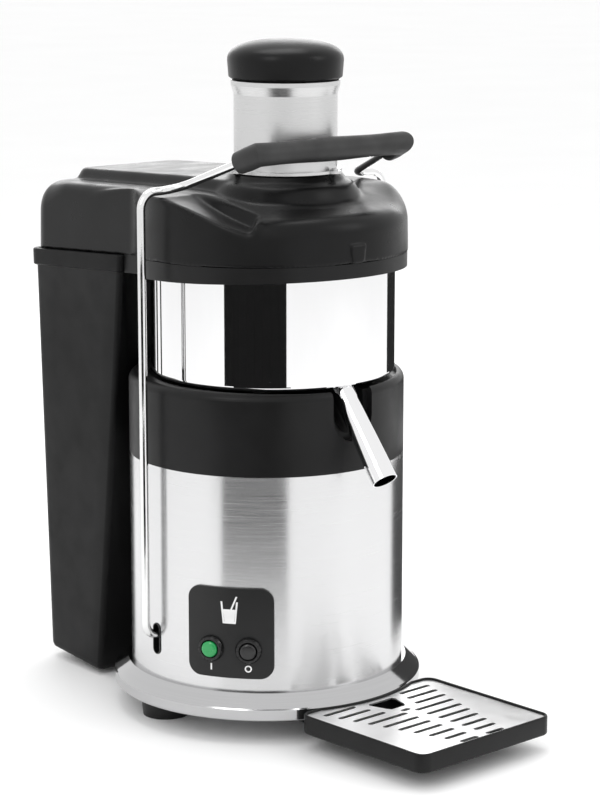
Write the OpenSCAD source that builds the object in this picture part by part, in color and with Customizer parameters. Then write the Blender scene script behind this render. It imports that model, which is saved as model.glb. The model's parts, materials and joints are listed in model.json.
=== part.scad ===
// Centrifugal juicer with a side-hung pulp bin, a clamping bail and a drip tray.
// Origin on the counter, at the axis of the round base. Front is -Y, the bin is at +Y.

/* [Body] */
// Outside diameter of the stainless body sleeve
body_d = 253; // [230:1:304]
// Height of the stainless body sleeve
sleeve_h = 196.5; // [180:0.5:236]
// Sheet thickness of the sleeve
sleeve_t = 1.2; // [0.8:0.1:2]
// Height of the black top housing above the sleeve
housing_h = 74.5; // [68:0.5:90]
// Height of the rubber feet
foot_h = 22; // [15:0.5:27]
// Diameter of a rubber foot
foot_d = 47; // [36:1:50]
// How far the base flange stands out past the sleeve
flange_w = 16.5; // [12:0.5:22]
// Height of the upright rim of the base flange
flange_rim_h = 11; // [8:0.5:14]
// Rise of the polished slope from the rim to the sleeve
flange_rise = 11; // [6:0.5:14]

/* [Bowl] */
// Outside diameter of the polished juice bowl
bowl_d = 223; // [200:1:225]
// How far the bowl and spindle stand forward of the base axis
bowl_shift = 9.6; // [4:0.2:10]
// Height of bowl wall between the housing and the collar seam
bowl_rise = 110; // [100:1:132]
// Sheet thickness of the bowl
bowl_t = 1.5; // [1:0.1:2]
// Height of the black collar under the lid seam
collar_h = 17; // [14:0.5:22]
// Outside diameter of the juice spout at its root
spout_d = 21; // [17:0.5:24]
// Length of the juice spout
spout_len = 103; // [85:1:120]
// Angle of the spout below the horizontal
spout_drop = 50.5; // [40:0.5:56]

/* [Basket] */
// Diameter of the filter basket at its rim
basket_d = 206; // [180:1:206]
// Diameter of the filter basket at its floor
basket_floor_d = 170; // [150:1:176]
// Height of the filter basket
basket_h = 62; // [50:1:64]
// Diameter of the motor shaft
shaft_d = 17; // [14:0.5:20]

/* [Lid and feed] */
// Height of the lid deck above the seam
lid_h = 58; // [54:1:70]
// Wall thickness of the lid
lid_t = 3; // [2:0.25:4]
// Width of the rear hood
hood_w = 196; // [180:1:200]
// Distance from the base axis to the back of the hood
hood_back = 242; // [215:1:250]
// Outside diameter of the feed chute
chute_d = 93; // [80:1:96]
// Wall thickness of the feed chute
chute_t = 2; // [1.5:0.1:2.4]
// How far the chute stands forward of the base axis
chute_shift = 29; // [24:1:34]
// Height of the chute above its collar ring
chute_h = 81; // [68:1:97]
// Diameter of the pusher cap
cap_d = 104.2; // [101:0.2:112]
// Height of the cap's side
cap_h = 26.6; // [22:0.2:32]
// Sliding clearance of the pusher in the chute
pusher_gap = 0.6; // [0.4:0.1:1]

/* [Bail] */
// Diameter of the bail rod
rod_d = 7.5; // [6:0.5:9]
// Gap between the sleeve and the upright legs of the bail
leg_gap = 8.25; // [7:0.25:12]
// Diameter of the hand grip
grip_d = 21.5; // [18:0.5:24]
// How far the grip bar reaches forward of the legs
grip_reach = 92; // [88:1:110]
// Height of the grip bar above the horizontal part of the rod
grip_rise = 37; // [35:1:44]
// Half the length of the grip bar
grip_half = 80; // [72:1:86]
// Height of the bail pivot above the counter
pivot_z = 84; // [80:1:92]
// Travel of the sprung bail carrier
draw_travel = 5; // [4:0.5:6]
// Running clearance of pins in their bores
pin_gap = 0.06; // [0.03:0.01:0.09]

/* [Pulp bin] */
// Width of the bin at its rim
bin_w = 200; // [184:1:206]
// Width of the bin at its floor
bin_floor_w = 180; // [164:1:184]
// Distance from the base axis to the back of the bin
bin_back = 240; // [214:1:248]
// Wall thickness of the bin
bin_t = 2.5; // [2:0.25:3.5]
// How far the rim band stands out from the bin wall
band_out = 3.5; // [2:0.25:4]
// Height of the rim band
band_h = 16; // [12:0.5:20]

/* [Drip tray] */
// Width of the tray
tray_w = 163; // [140:1:190]
// Distance from the base axis to the front of the tray
tray_front = 287; // [270:1:320]
// Height of the tray wall
tray_h = 17.5; // [14:0.5:18.5]
// Wall thickness of the tray
tray_t = 2.5; // [2:0.25:3]
// Gap between the flange and the hollow edge of the tray
tray_gap = 1.5; // [1:0.25:4]
// Angle at which the tray stands round the base
tray_turn = 4; // [0:0.5:8]

/* [Controls] */
// Angle of the control panel from the front
panel_angle = -53; // [-60:0.5:-48]
// Width of the control panel
panel_w = 79; // [74:1:84]
// Height of the control panel
panel_h = 83; // [78:1:88]
// Angle between the two push buttons
button_spread = 15.6; // [15:0.2:18]
// Diameter of a push button cap
button_d = 14.4; // [12:0.2:15]
// Travel of a push button
button_travel = 3; // [2:0.25:4]

/* [Hidden] */
$fn = 96;
body_r = body_d / 2;
flange_r = body_r + flange_w;
z_rim = foot_h + flange_rim_h;
z_sleeve = z_rim + flange_rise;
z_housing = z_sleeve + sleeve_h;
z_bowl = z_housing + housing_h;
z_seam = z_bowl + bowl_rise;
z_deck = z_seam + lid_h;
z_chute = z_deck + 17;
z_chute_top = z_chute + chute_h;
front_tilt = 1.15;
back_tilt = 3.76;
spout_r = spout_d / 2;
spout_wall = 1.2;
spout_tip = 14;
spout_tip_r = spout_r + 1.2;
spout_flare = (spout_len - spout_tip) / 2;
bowl_r = bowl_d / 2;
chute_r = chute_d / 2;
rod_r = rod_d / 2;
shaft_r = shaft_d / 2;
// Sliding and seating clearances inside one body
seat_gap = 0.02;
screw_r = 3;
screw_gap = 0.2;
// Feet
foot_ring_r = 105.5;
foot_angles = [-100, tray_turn, 100, 180];
base_floor_t = 4;
air_hole_r = 60;
// Bail
leg_x = body_r + leg_gap + rod_r;
bend_low_r = 12;
bend_top_r = 15;
rod_top_z = z_deck + 0.25 + rod_r;
arm_x = grip_half + 20;
grip_corner = [grip_half, -grip_reach, rod_top_z + grip_rise];
grip_arm = [arm_x, 0, rod_top_z] - grip_corner;
slot_w = rod_d + 3.5;
slot_h = 29.5;
slot_mid_z = pivot_z - 4.2;
yoke_x = body_r - 26.5;
guide_y = 15;
guide_x = yoke_x + 8;
guide_r = 3;
yoke_half_h = 10;
spring_top_z = pivot_z + 44;
// Motor, measured along the spindle axis
motor_r = 78;
stator_r = 75;
stator_bore_r = 42;
z_plate = z_housing - 12;
plate_t = 6;
mount_h = 14;
mount_ring_r = 92;
z_shield = z_plate - mount_h - 8;
z_core_top = z_shield - 20.5;
z_core = z_core_top - 74;
z_lower_shield = z_core - 28;
bearing_r = 20;
bearing_w = 12;
// Housing and bowl
shoulder_r = 8;
z_housing_deck = z_bowl - 8;
deck_t = 4;
seal_r = 30;
z_bowl_floor = z_bowl + 0.5;
bowl_corner = 4.5;
chimney_r = 23.5;
chimney_h = 22;
spout_root_y = 103.5;
spout_root_z = z_bowl_floor + spout_d / 2 * 0.5 - 2;
pocket_w = 44;
// Basket and grating disc
z_basket = z_seam - 17 - basket_h;
basket_floor_t = 2.5;
grating_t = 2.5;
z_grating = z_basket + basket_floor_t;
z_nut = z_grating + grating_t;
chute_low = z_basket + 22;
// Lid
lid_r = 124;
tier_h = 10;
pad_r = 65;
hood_half = hood_w / 2;
rim_half = bin_w / 2;
chute_hole_r = chute_r + 0.1;
// Bin
rim_gap = 0.5;
bin_front_clear = foot_h - 17.5;
bin_back_clear = foot_h - 11;
rail_x = rim_half - 14;
rail_w = 5.5;
rail_h = 8;
rail_gap = 0.3;
lip_t = 2.6;
lip_in = 10;
rail_top = rim_gap + lip_t + rail_gap;
bin_front_r = body_r + 5;
bin_low_front = flange_r + 6.5;
bin_high_front = 86;
// Tray
z_tray = z_rim - tray_h;
tray_edge_r = flange_r + tray_gap;
tongue_x = 42;
tongue_w = 20;
tongue_t = 5;
clip_wall = 3;
clip_l = 32;
// The clips stay under the flange, right out to their outer corners
clip_front = sqrt(pow(flange_r, 2) - pow(tongue_x + tongue_w / 2 + clip_wall, 2)) - 0.5;
grille_t = 1.5;
slot_rows = 10;
tray_back = tray_edge_r - 11.5;
tray_corner = 11;
rim_lip = 2;
grille_slot_w = 5;
slot_first = 16;
slot_pitch = (tray_front - tray_back - slot_first - 8.5) / (slot_rows - 1);
slot_inner = 5.5;
slot_outer = tray_w / 2 - 15.5;
slot_outer_step = 4.37;
hole_rows = 3;
// Cable gland
gland_angle = 115;
gland_z = z_sleeve + 18;
gland_r = 8;
cable_r = 4;
// Controls
panel_t = 2;
panel_mid_z = z_sleeve + 54.2;
button_z = z_sleeve + 39;
start_angle = panel_angle - button_spread / 2;
stop_angle = panel_angle + button_spread / 2;
bezel_r = 12;
button_hole_r = 10;
stem_r = 4;
block_depth = 26;

// Height of the seam between collar and lid, d above or below it, at depth y
function seam_z(y, d = 0) = z_seam + d + (y < 0 ? -y * tan(front_tilt) : -y * tan(back_tilt));
function collar_z(y) = z_seam - collar_h + (y < 0 ? -y * 0.05 : -y * tan(back_tilt));
function bin_floor_z(y) = bin_front_clear
  + (y - bin_low_front) * (bin_back_clear - bin_front_clear) / (bin_back - bin_low_front);
function arc(cx, cy, r, a0, a1, n = 8) = [for (i = [0:n]) let (a = a0 + (a1 - a0) * i / n)
  [cx + r * cos(a), cy + r * sin(a)]];

module at_spindle() translate([0, -bowl_shift, 0]) children();
module at_chute() translate([0, -chute_shift, 0]) children();
module rod_z(r, z0, z1) translate([0, 0, z0]) cylinder(h = z1 - z0, r = r);
module tube(r_out, r_in, z0, z1) difference() {
  rod_z(r_out, z0, z1);
  rod_z(r_in, z0 - 1, z1 + 1);
}
module around(angles) for (a = angles) rotate([0, 0, a]) children();
module both_sides() {
  children();
  mirror([1, 0, 0]) children();
}
// A side view, drawn in depth and height, extruded across the width
module side_slab(points, half) rotate([90, 0, 90])
  linear_extrude(2 * half, center = true) polygon(points);
module on_sleeve(angle, z) rotate([0, 0, angle]) translate([0, -body_r, z]) rotate([90, 0, 0])
  children();
module slot_2d(w, h) {
  square([w, h - w], center = true);
  for (s = [-1, 1]) translate([0, s * (h - w) / 2]) circle(d = w);
}
module side_slot(w, h, x0, x1) translate([x0, 0, slot_mid_z]) rotate([90, 0, 90])
  linear_extrude(x1 - x0) slot_2d(w, h);
module rounded_box(w, h, r) {
  square([w - 2 * r, h], center = true);
  square([w, h - 2 * r], center = true);
  for (sx = [-1, 1], sy = [-1, 1])
    translate([sx * (w / 2 - r), sy * (h / 2 - r)]) circle(r);
}
module below_seam(d) side_slab([[-300, -50], [300, -50], [300, seam_z(300, d)],
  [0, seam_z(0, d)], [-300, seam_z(-300, d)]], 250);
module above_seam(d) side_slab([[-300, 900], [300, 900], [300, seam_z(300, d)],
  [0, seam_z(0, d)], [-300, seam_z(-300, d)]], 250);
module hex(r, z0, z1) translate([0, 0, z0]) cylinder(h = z1 - z0, r = r, $fn = 6);

// ---- Base ----
module base_plate() color("silver") difference() {
  rotate_extrude() polygon([[air_hole_r, foot_h], [flange_r - 1, foot_h], [flange_r, foot_h + 1],
    [flange_r, z_rim - 1], [flange_r - 1.5, z_rim], [body_r + 3.5, z_sleeve],
    [body_r - 8.5, z_sleeve], [body_r - 8.5, foot_h + base_floor_t],
    [air_hole_r, foot_h + base_floor_t]]);
  around(foot_angles) translate([0, -foot_ring_r, 0]) rod_z(screw_r + screw_gap, 0, z_sleeve);
}
module air_grille() color("dimgray") difference() {
  rod_z(air_hole_r + 6, foot_h + base_floor_t, foot_h + base_floor_t + 2);
  around([0:15:345]) translate([18, -1.75, foot_h]) cube([38, 3.5, 10]);
}
module feet() color("black") around(foot_angles) translate([0, -foot_ring_r, 0]) difference() {
  cylinder(h = foot_h, r1 = foot_d / 2 - 2, r2 = foot_d / 2);
  rod_z(screw_r + screw_gap, -1, foot_h + 1);
  rod_z(8, -1, foot_h / 2);
}
module foot_screws() color("silver") around(foot_angles) translate([0, -foot_ring_r, 0]) {
  rod_z(6, foot_h / 2 - 4, foot_h / 2);
  rod_z(screw_r, foot_h / 2 - 1, foot_h + base_floor_t + 8);
  hex(6, foot_h + base_floor_t, foot_h + base_floor_t + 5);
}
// A strip along the seam's slope, from depth y0 to y1, d0 to d1 below the seam
module along_seam(y0, y1, d0, d1, half) side_slab([[y0, seam_z(y0, -d1)], [y1, seam_z(y1, -d1)],
  [y1, seam_z(y1, -d0)], [y0, seam_z(y0, -d0)]], half);
// The bin's lips hang on these two rails, which stand out behind the bowl collar
module bin_rails() color("gray") both_sides() difference() {
  translate([rail_x, 0, 0]) along_seam(60, bin_back - 22, rail_top, rail_top + rail_h, rail_w / 2);
  rod_z(body_r + 3.5, z_bowl, z_seam + 20);
}
module tray_clips() color("black") rotate([0, 0, tray_turn]) both_sides()
  translate([tongue_x, -clip_front, 0]) difference() {
    translate([-tongue_w / 2 - clip_wall, 0, z_tray - 2.6])
      cube([tongue_w + 2 * clip_wall, clip_l, foot_h - z_tray + 2.6]);
    translate([-tongue_w / 2 - 0.4, -1, z_tray - 0.3])
      cube([tongue_w + 0.8, clip_l + 2, tongue_t + 0.6]);
  }

// ---- Body shell ----
module sleeve_cuts() {
  both_sides() side_slot(slot_w, slot_h, body_r - 10, body_r + 10);
  for (a = [start_angle, stop_angle]) on_sleeve(a, button_z)
    translate([0, 0, -20]) cylinder(h = 40, r = button_hole_r);
  on_sleeve(gland_angle, gland_z) translate([0, 0, -20]) cylinder(h = 40, r = gland_r + 0.2);
}
module body_sleeve() color("lightgray") difference() {
  tube(body_r, body_r - sleeve_t, z_sleeve, z_housing);
  sleeve_cuts();
}
module slot_liners() color("black") both_sides() difference() {
  union() {
    side_slot(slot_w - 0.4, slot_h - 0.4, body_r - 6, body_r + 0.8);
    side_slot(slot_w + 6, slot_h + 6, body_r - 6, body_r - 4.5);
  }
  side_slot(slot_w - 2.4, slot_h - 2, body_r - 8, body_r + 2);
}
module spout_axis() translate([0, -spout_root_y, spout_root_z]) rotate([90 + spout_drop, 0, 0])
  children();
module spout_pocket(grow) {
  translate([0, -flange_r, z_bowl - 25]) rotate([-90, 0, 0])
    cylinder(h = flange_r - body_r + 9 + grow, r = pocket_w / 2 + grow);
  translate([-pocket_w / 2 - grow, -flange_r, z_bowl - 25])
    cube([pocket_w + 2 * grow, flange_r - body_r + 9 + grow, 40]);
  intersection() {
    translate([-pocket_w / 2 - grow, -flange_r, z_bowl - 60])
      cube([pocket_w + 2 * grow, flange_r - 84 + grow, 80]);
    spout_axis() translate([0, 0, -40]) cylinder(h = 90, r = pocket_w / 2 - 4 + grow);
  }
}
module top_housing() color("black") difference() {
  union() {
    difference() {
      rotate_extrude() polygon(concat([[0, z_housing]], [[body_r, z_housing]],
        arc(body_r - shoulder_r, z_bowl - shoulder_r, shoulder_r, 0, 90), [[0, z_bowl]]));
      rod_z(body_r - 4, z_housing - 1, z_housing_deck);
    }
    tube(body_r - sleeve_t - 0.4, body_r - sleeve_t - 3, z_plate + plate_t, z_housing + 2);
    intersection() {
      spout_pocket(3);
      rod_z(body_r - 2, z_housing + 6, z_housing_deck + 1);
    }
  }
  at_spindle() rod_z(bowl_r + 2, z_housing_deck + deck_t, z_bowl + 1);
  at_spindle() rod_z(seal_r, z_housing, z_bowl);
  spout_pocket(0);
}

// ---- Motor ----
module motor_plate() color("silver") difference() {
  rod_z(body_r - sleeve_t - 0.5, z_plate, z_plate + plate_t);
  at_spindle() rod_z(seal_r + 2, z_plate - 1, z_plate + plate_t + 1);
  at_spindle() around([45:90:315]) translate([mount_ring_r, 0, 0])
    rod_z(screw_r + screw_gap, z_plate - 1, z_plate + plate_t + 1);
}
module rubber_mounts() color("black") at_spindle() around([45:90:315])
  translate([mount_ring_r, 0, 0]) tube(10, screw_r + screw_gap, z_plate - mount_h, z_plate);
module mount_screws() color("silver") at_spindle() around([45:90:315])
  translate([mount_ring_r, 0, 0]) {
    rod_z(screw_r, z_shield - 8, z_plate + plate_t + 2);
    rod_z(5.5, z_plate + plate_t, z_plate + plate_t + 4);
    hex(5.5, z_shield - 5, z_shield);
  }
module motor_frame() color("gray") at_spindle() difference() {
  union() {
    tube(motor_r, stator_r, z_lower_shield + 8, z_shield);
    around([0:20:340]) translate([motor_r - 1, -1, z_core]) cube([5, 2, z_core_top - z_core]);
  }
  around([10:40:330]) translate([stator_r - 2, -4, z_core_top + 6]) cube([8, 8, 8]);
}
module stator_core() color("slategray") at_spindle() difference() {
  rod_z(stator_r - seat_gap, z_core, z_core_top);
  rod_z(stator_bore_r, z_core - 1, z_core_top + 1);
  around([0:30:330]) translate([stator_bore_r + 8, 0, 0]) rod_z(4, z_core - 1, z_core_top + 1);
}
module stator_windings() color("peru") at_spindle() for (z = [z_core - 9.5, z_core_top + 9.5])
  rotate_extrude() translate([stator_r - 15, z]) circle(9);
module upper_end_shield() color("gray") at_spindle() difference() {
  union() {
    rod_z(motor_r, z_shield, z_shield + 8);
    rod_z(bearing_r + 6, z_shield - 4, z_shield + 14);
    around([45:90:315]) {
      translate([mount_ring_r, 0, 0]) rod_z(12, z_shield, z_shield + 8);
      translate([motor_r - 8, -12, z_shield]) cube([mount_ring_r - motor_r + 8, 24, 8]);
    }
  }
  rod_z(bearing_r + seat_gap, z_shield, z_shield + bearing_w);
  rod_z(shaft_r + 4, z_shield - 5, z_shield + 15);
  around([45:90:315]) translate([mount_ring_r, 0, 0])
    rod_z(screw_r + screw_gap, z_shield - 1, z_shield + 9);
}
module lower_end_shield() color("gray") at_spindle() difference() {
  union() {
    rod_z(motor_r, z_lower_shield, z_lower_shield + 8);
    rod_z(bearing_r + 6, z_lower_shield - 8, z_lower_shield + 8);
  }
  rod_z(bearing_r + seat_gap, z_lower_shield - 6, z_lower_shield - 6 + bearing_w);
  rod_z(shaft_r + 4, z_lower_shield - 9, z_lower_shield + 9);
  around([0:30:330]) translate([50, 0, 0]) rod_z(8, z_lower_shield - 1, z_lower_shield + 9);
}
module bearing(z0) color("silver") at_spindle() difference() {
  tube(bearing_r, shaft_r + pin_gap, z0, z0 + bearing_w);
  for (z = [z0 - 0.5, z0 + bearing_w - 0.5]) tube(bearing_r - 3, shaft_r + 3, z, z + 1);
}
module upper_bearing() bearing(z_shield);
module lower_bearing() bearing(z_lower_shield - 6);
module run_capacitor() color("gray") translate([-30, 97, 0]) {
  rod_z(19, z_sleeve + 14, z_sleeve + 94);
  both_sides() translate([6, 0, 0]) rod_z(2, z_sleeve + 93, z_sleeve + 102);
}
module brake_board() color("green") {
  translate([4, 86, z_sleeve + 14]) cube([62, 1.6, 92]);
  translate([10, 87.6, z_sleeve + 22]) cube([24, 13, 20]);
  translate([40, 87.6, z_sleeve + 22]) cube([18, 10, 26]);
  for (i = [0:2]) translate([16 + 15 * i, 87.6, z_sleeve + 76]) rotate([-90, 0, 0])
    cylinder(h = 11, r = 5);
}
module terminal_block() color("ivory") difference() {
  translate([-78, 62, foot_h + base_floor_t]) cube([36, 14, 16]);
  for (i = [0:3]) translate([-73.5 + 9 * i, 69, foot_h + base_floor_t + 6]) cylinder(h = 12, r = 2.5);
}
module interlock_switch() color("darkred") {
  translate([-yoke_x + 5, -6, pivot_z + 14]) cube([10, 22, 16]);
  translate([-yoke_x + 1, -4, pivot_z + 11]) cube([12, 18, 1]);
  translate([-yoke_x + 7, -4, pivot_z + 11.5]) cube([5, 4, 3]);
}
module bail_brackets() color("gray") both_sides() difference() {
  translate([yoke_x - 5, -12, pivot_z - 24]) cube([22, 38, spring_top_z - pivot_z + 28]);
  translate([yoke_x - 3, -13, pivot_z - 20]) cube([30, 40, spring_top_z - pivot_z + 20]);
  translate([guide_x, guide_y, 0]) rod_z(guide_r + seat_gap, 0, z_housing);
  translate([yoke_x - 6, -8, pivot_z + 10]) cube([5, 26, 22]);
}
module guide_pins() color("silver") both_sides() translate([guide_x, guide_y, 0])
  rod_z(guide_r, pivot_z - 26, spring_top_z + 6);
module cable_gland() color("black") on_sleeve(gland_angle, gland_z) difference() {
  union() {
    translate([0, 0, -14]) cylinder(h = 16, r = gland_r);
    translate([0, 0, 0.3]) cylinder(h = 5, r = gland_r + 4, $fn = 6);
    translate([0, 0, 5]) cylinder(h = 9, r = gland_r + 1);
    translate([0, 0, -8]) cylinder(h = 5, r = gland_r + 4, $fn = 6);
  }
  translate([0, 0, -15]) cylinder(h = 30, r = cable_r);
}

// ---- Controls ----
module on_panel(r0, r1, z) intersection() {
  tube(r1, r0, z_sleeve, z_housing);
  on_sleeve(panel_angle, z) translate([0, 0, -30]) linear_extrude(60) children();
}
module control_panel() color("black") difference() {
  on_panel(body_r + 0.05, body_r + panel_t, panel_mid_z) rounded_box(panel_w, panel_h, 12);
  for (a = [start_angle, stop_angle]) on_sleeve(a, button_z)
    translate([0, 0, -20]) cylinder(h = 40, r = button_hole_r);
}
// A tumbler with a straw above, a bar under the start button, a ring under the stop button
module panel_icons() color("white") {
  on_panel(body_r + panel_t, body_r + panel_t + 0.3, panel_mid_z + 20) {
    difference() {
      polygon([[-8, 9], [8, 9], [6, -11], [-6, -11]]);
      polygon([[-6.4, 9.1], [6.4, 9.1], [4.7, -9.4], [-4.7, -9.4]]);
    }
    polygon([[-5.7, 2], [5.7, 2], [4.4, -9.6], [-4.4, -9.6]]);
    polygon([[1, 2], [2.6, 2], [7.6, 14], [6, 14]]);
  }
  on_panel(body_r + panel_t, body_r + panel_t + 0.3, button_z - 17)
    translate([-body_r * sin(button_spread / 2), 0]) square([1.4, 6], center = true);
  on_panel(body_r + panel_t, body_r + panel_t + 0.3, button_z - 17)
    translate([body_r * sin(button_spread / 2), 0]) difference() {
      circle(3.2);
      circle(2);
    }
}
module bezel() color("black") difference() {
  union() {
    translate([0, 0, panel_t + 0.1]) cylinder(h = 4, r1 = bezel_r, r2 = bezel_r - 1.5);
    translate([0, 0, -9]) cylinder(h = 12, r = button_hole_r - 0.2);
  }
  translate([0, 0, -10]) cylinder(h = 20, r = button_d / 2 + 0.35);
}
module start_bezel() on_sleeve(start_angle, button_z) bezel();
module stop_bezel() on_sleeve(stop_angle, button_z) bezel();
module button() {
  translate([0, 0, -4]) cylinder(h = 11, r = button_d / 2);
  translate([0, 0, 7]) cylinder(h = 1.2, r1 = button_d / 2, r2 = button_d / 2 - 1.2);
  translate([0, 0, -16]) cylinder(h = 13, r = stem_r);
}
module start_button() color("green") on_sleeve(start_angle, button_z) button();
module stop_button() color("black") on_sleeve(stop_angle, button_z) button();
module contact_blocks() color("ivory") for (a = [start_angle, stop_angle])
  on_sleeve(a, button_z) difference() {
    translate([-10, -12, -9.5 - block_depth]) cube([20, 24, block_depth]);
    translate([0, 0, -9.5 - block_depth + 3]) cylinder(h = block_depth, r = stem_r + 1.5);
  }
// A coil spring swept along a helix, from z0 to z1
module coil(r, wire_r, z0, z1, turns, steps = 12, sides = 6) {
  n = turns * steps;
  rise = z1 - z0 - 2 * wire_r;
  points = [for (i = [0:n], k = [0:sides - 1])
    let (a = 360 * i / steps, b = 360 * k / sides, q = r + wire_r * cos(b))
    [q * cos(a), q * sin(a), z0 + wire_r + rise * i / n + wire_r * sin(b)]];
  skin = [for (i = [0:n - 1], k = [0:sides - 1]) let (m = (k + 1) % sides)
    [i * sides + k, (i + 1) * sides + k, (i + 1) * sides + m, i * sides + m]];
  polyhedron(points, concat([[for (k = [0:sides - 1]) k]], skin,
    [[for (k = [sides - 1:-1:0]) n * sides + k]]), 4);
}
// Each spring is drawn at the length it has when its button is fully pressed
module button_springs() color("silver") for (a = [start_angle, stop_angle])
  on_sleeve(a, button_z)
    coil(4, 0.5, -9.5 - block_depth + 3.2, -16 - button_travel - 0.3, 4);

// ---- Bowl, spout and collar ----
module shaft_seal() color("black") at_spindle()
  tube(seal_r, shaft_r + 0.3, z_housing_deck - 2, z_housing_deck + deck_t + 2);
module bowl_rests() color("black") at_spindle() around([45:90:315]) translate([85, 0, 0])
  rod_z(7, z_housing_deck + deck_t, z_bowl_floor);
module bowl_solid(r, z0, corner) rotate_extrude()
  polygon(concat([[0, z0]], arc(r - corner, z0 + corner, corner, -90, 0), [[r, z_seam + 20],
    [0, z_seam + 20]]));
module juice_bowl() color("whitesmoke") intersection() {
  at_spindle() difference() {
    union() {
      difference() {
        bowl_solid(bowl_r, z_bowl_floor, bowl_corner);
        bowl_solid(bowl_r - bowl_t, z_bowl_floor + bowl_t, bowl_corner - bowl_t);
      }
      rod_z(chimney_r, z_bowl_floor, z_bowl_floor + chimney_h);
    }
    rod_z(chimney_r - bowl_t, z_bowl_floor - 1, z_bowl_floor + chimney_h + 1);
    translate([0, bowl_shift, 0]) spout_axis() translate([0, 0, -14])
      cylinder(h = 30, r = spout_r - spout_wall);
  }
  below_seam(-4);
}
// The spout widens over its middle third and ends in a straight tip
module juice_spout() color("whitesmoke") difference() {
  spout_axis() {
    translate([0, 0, -22]) cylinder(h = 22 + spout_flare, r = spout_r);
    translate([0, 0, spout_flare - 0.01])
      cylinder(h = spout_len - spout_tip - spout_flare + 0.02, r1 = spout_r, r2 = spout_tip_r);
    translate([0, 0, spout_len - spout_tip]) cylinder(h = spout_tip, r = spout_tip_r);
  }
  spout_axis() {
    translate([0, 0, -40]) cylinder(h = 40 + spout_flare + 0.01, r = spout_r - spout_wall);
    translate([0, 0, spout_flare]) cylinder(h = spout_len - spout_tip - spout_flare + 0.01,
      r1 = spout_r - spout_wall, r2 = spout_tip_r - spout_wall);
    translate([0, 0, spout_len - spout_tip]) cylinder(h = spout_tip + 1,
      r = spout_tip_r - spout_wall);
  }
  at_spindle() bowl_solid(bowl_r, z_bowl_floor, bowl_corner);
}
module collar_plan(z0, z1) {
  at_spindle() rod_z(lid_r - 1.5, z0, z1);
  intersection() {
    translate([-hood_half + 1, 0, z0]) cube([hood_w - 2, 200, z1 - z0]);
    rod_z(body_r + 3.5, z0, z1);
  }
}
module bowl_collar() color("black") difference() {
  intersection() {
    collar_plan(z_seam - 60, z_seam + 20);
    below_seam(-0.2);
    side_slab([[-300, collar_z(-300)], [0, collar_z(0)], [300, collar_z(300)],
      [300, z_seam + 90], [-300, z_seam + 90]], 250);
  }
  at_spindle() rod_z(bowl_r + seat_gap, z_bowl, z_seam + 30);
  intersection() {
    at_spindle() tube(lid_r - 5, lid_r - 9, z_bowl, z_seam + 30);
    above_seam(-3);
  }
}
module lid_gasket() color("dimgray") intersection() {
  at_spindle() tube(lid_r - 5.1, lid_r - 8.9, z_bowl, z_seam + 30);
  above_seam(-3);
  below_seam(-0.1);
}

// ---- Lid ----
module lid_round(r, top) at_spindle() rotate_extrude() polygon(concat([[0, z_bowl], [r, z_bowl],
  [r - 1, z_seam + top - 28]], arc(r - 13, z_seam + top - 28, 12, 0, 80),
  [[pad_r + 7, z_seam + top - 8], [0, z_seam + top - 8]]));
module hood_profile(inset) {
  back = hood_back - inset;
  top = z_deck - inset;
  side_slab(concat([[-95, z_bowl], [back, z_bowl]], [[back, top - 34]],
    arc(back - 22, top - 30, 21.5, 0, 80), [[51, top - 0.5], [-8, top], [-95, z_seam + 20]]), 200);
}
module hood_plan(inset) {
  translate([-hood_half + inset, 0, z_bowl])
    cube([hood_w - 2 * inset, hood_back - 25, z_deck]);
  translate([-hood_half + inset + 25 - inset, 0, z_bowl])
    cube([hood_w - 50, hood_back - inset, z_deck]);
  both_sides() translate([hood_half - 25, hood_back - 25, 0]) rod_z(25 - inset, z_bowl, z_deck + 90);
  at_spindle() rod_z(lid_r - 2 - inset, z_bowl, z_deck + 90);
}
module tier(inset) intersection() {
  side_slab([[0, z_bowl], [hood_back - 28 - inset, z_bowl],
    [hood_back - 28 - inset, z_deck - inset - 4], [hood_back - 38 - inset, z_deck + 2 - inset],
    [20, z_deck + tier_h - 2 - inset], [0, z_deck + tier_h - 1 - inset]], 200);
  translate([-62 + inset, 0, z_bowl]) cube([122 - 2 * inset, hood_back, z_deck]);
}
module lid() color("black") difference() {
  intersection() {
    union() {
      lid_round(lid_r, 50);
      intersection() {
        hood_profile(0);
        hood_plan(0);
      }
      at_chute() {
        rod_z(pad_r, z_seam + 20, z_deck + tier_h - 2);
        translate([0, 0, z_deck + tier_h - 2.01]) cylinder(h = 9.01, r1 = pad_r, r2 = chute_r + 4);
      }
      tier(0);
    }
    above_seam(0);
  }
  lid_round(lid_r - lid_t, 50 - lid_t);
  intersection() {
    hood_profile(lid_t);
    hood_plan(lid_t);
    translate([-200, 10, z_bowl]) cube([400, 400, 400]);
  }
  tier(lid_t);
  at_chute() rod_z(pad_r - lid_t, z_seam, z_deck + tier_h - 6);
  at_chute() rod_z(chute_hole_r, z_seam, z_chute + 10);
}
module feed_chute() color("silver") at_chute() difference() {
  union() {
    rod_z(chute_r, chute_low, z_chute_top - 2);
    translate([0, 0, z_chute_top - 12]) cylinder(h = 8, r1 = chute_r, r2 = chute_r + 2.5);
    rod_z(chute_r + 2.5, z_chute_top - 4, z_chute_top);
  }
  rod_z(chute_r - chute_t, chute_low - 1, z_chute_top + 1);
}
module chute_ring() color("silver") at_chute() difference() {
  union() {
    rod_z(chute_r + 4, z_chute, z_chute + 2.5);
    around([20:120:260]) translate([0, -chute_r - 4, 0]) rod_z(6, z_chute, z_chute + 2.5);
  }
  rod_z(chute_r + seat_gap, z_chute - 1, z_chute + 4);
}
module chute_screws() color("silver") at_chute() around([20:120:260])
  translate([0, -chute_r - 5, 0]) rod_z(3, z_chute + 2.5, z_chute + 4.5);

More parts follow.
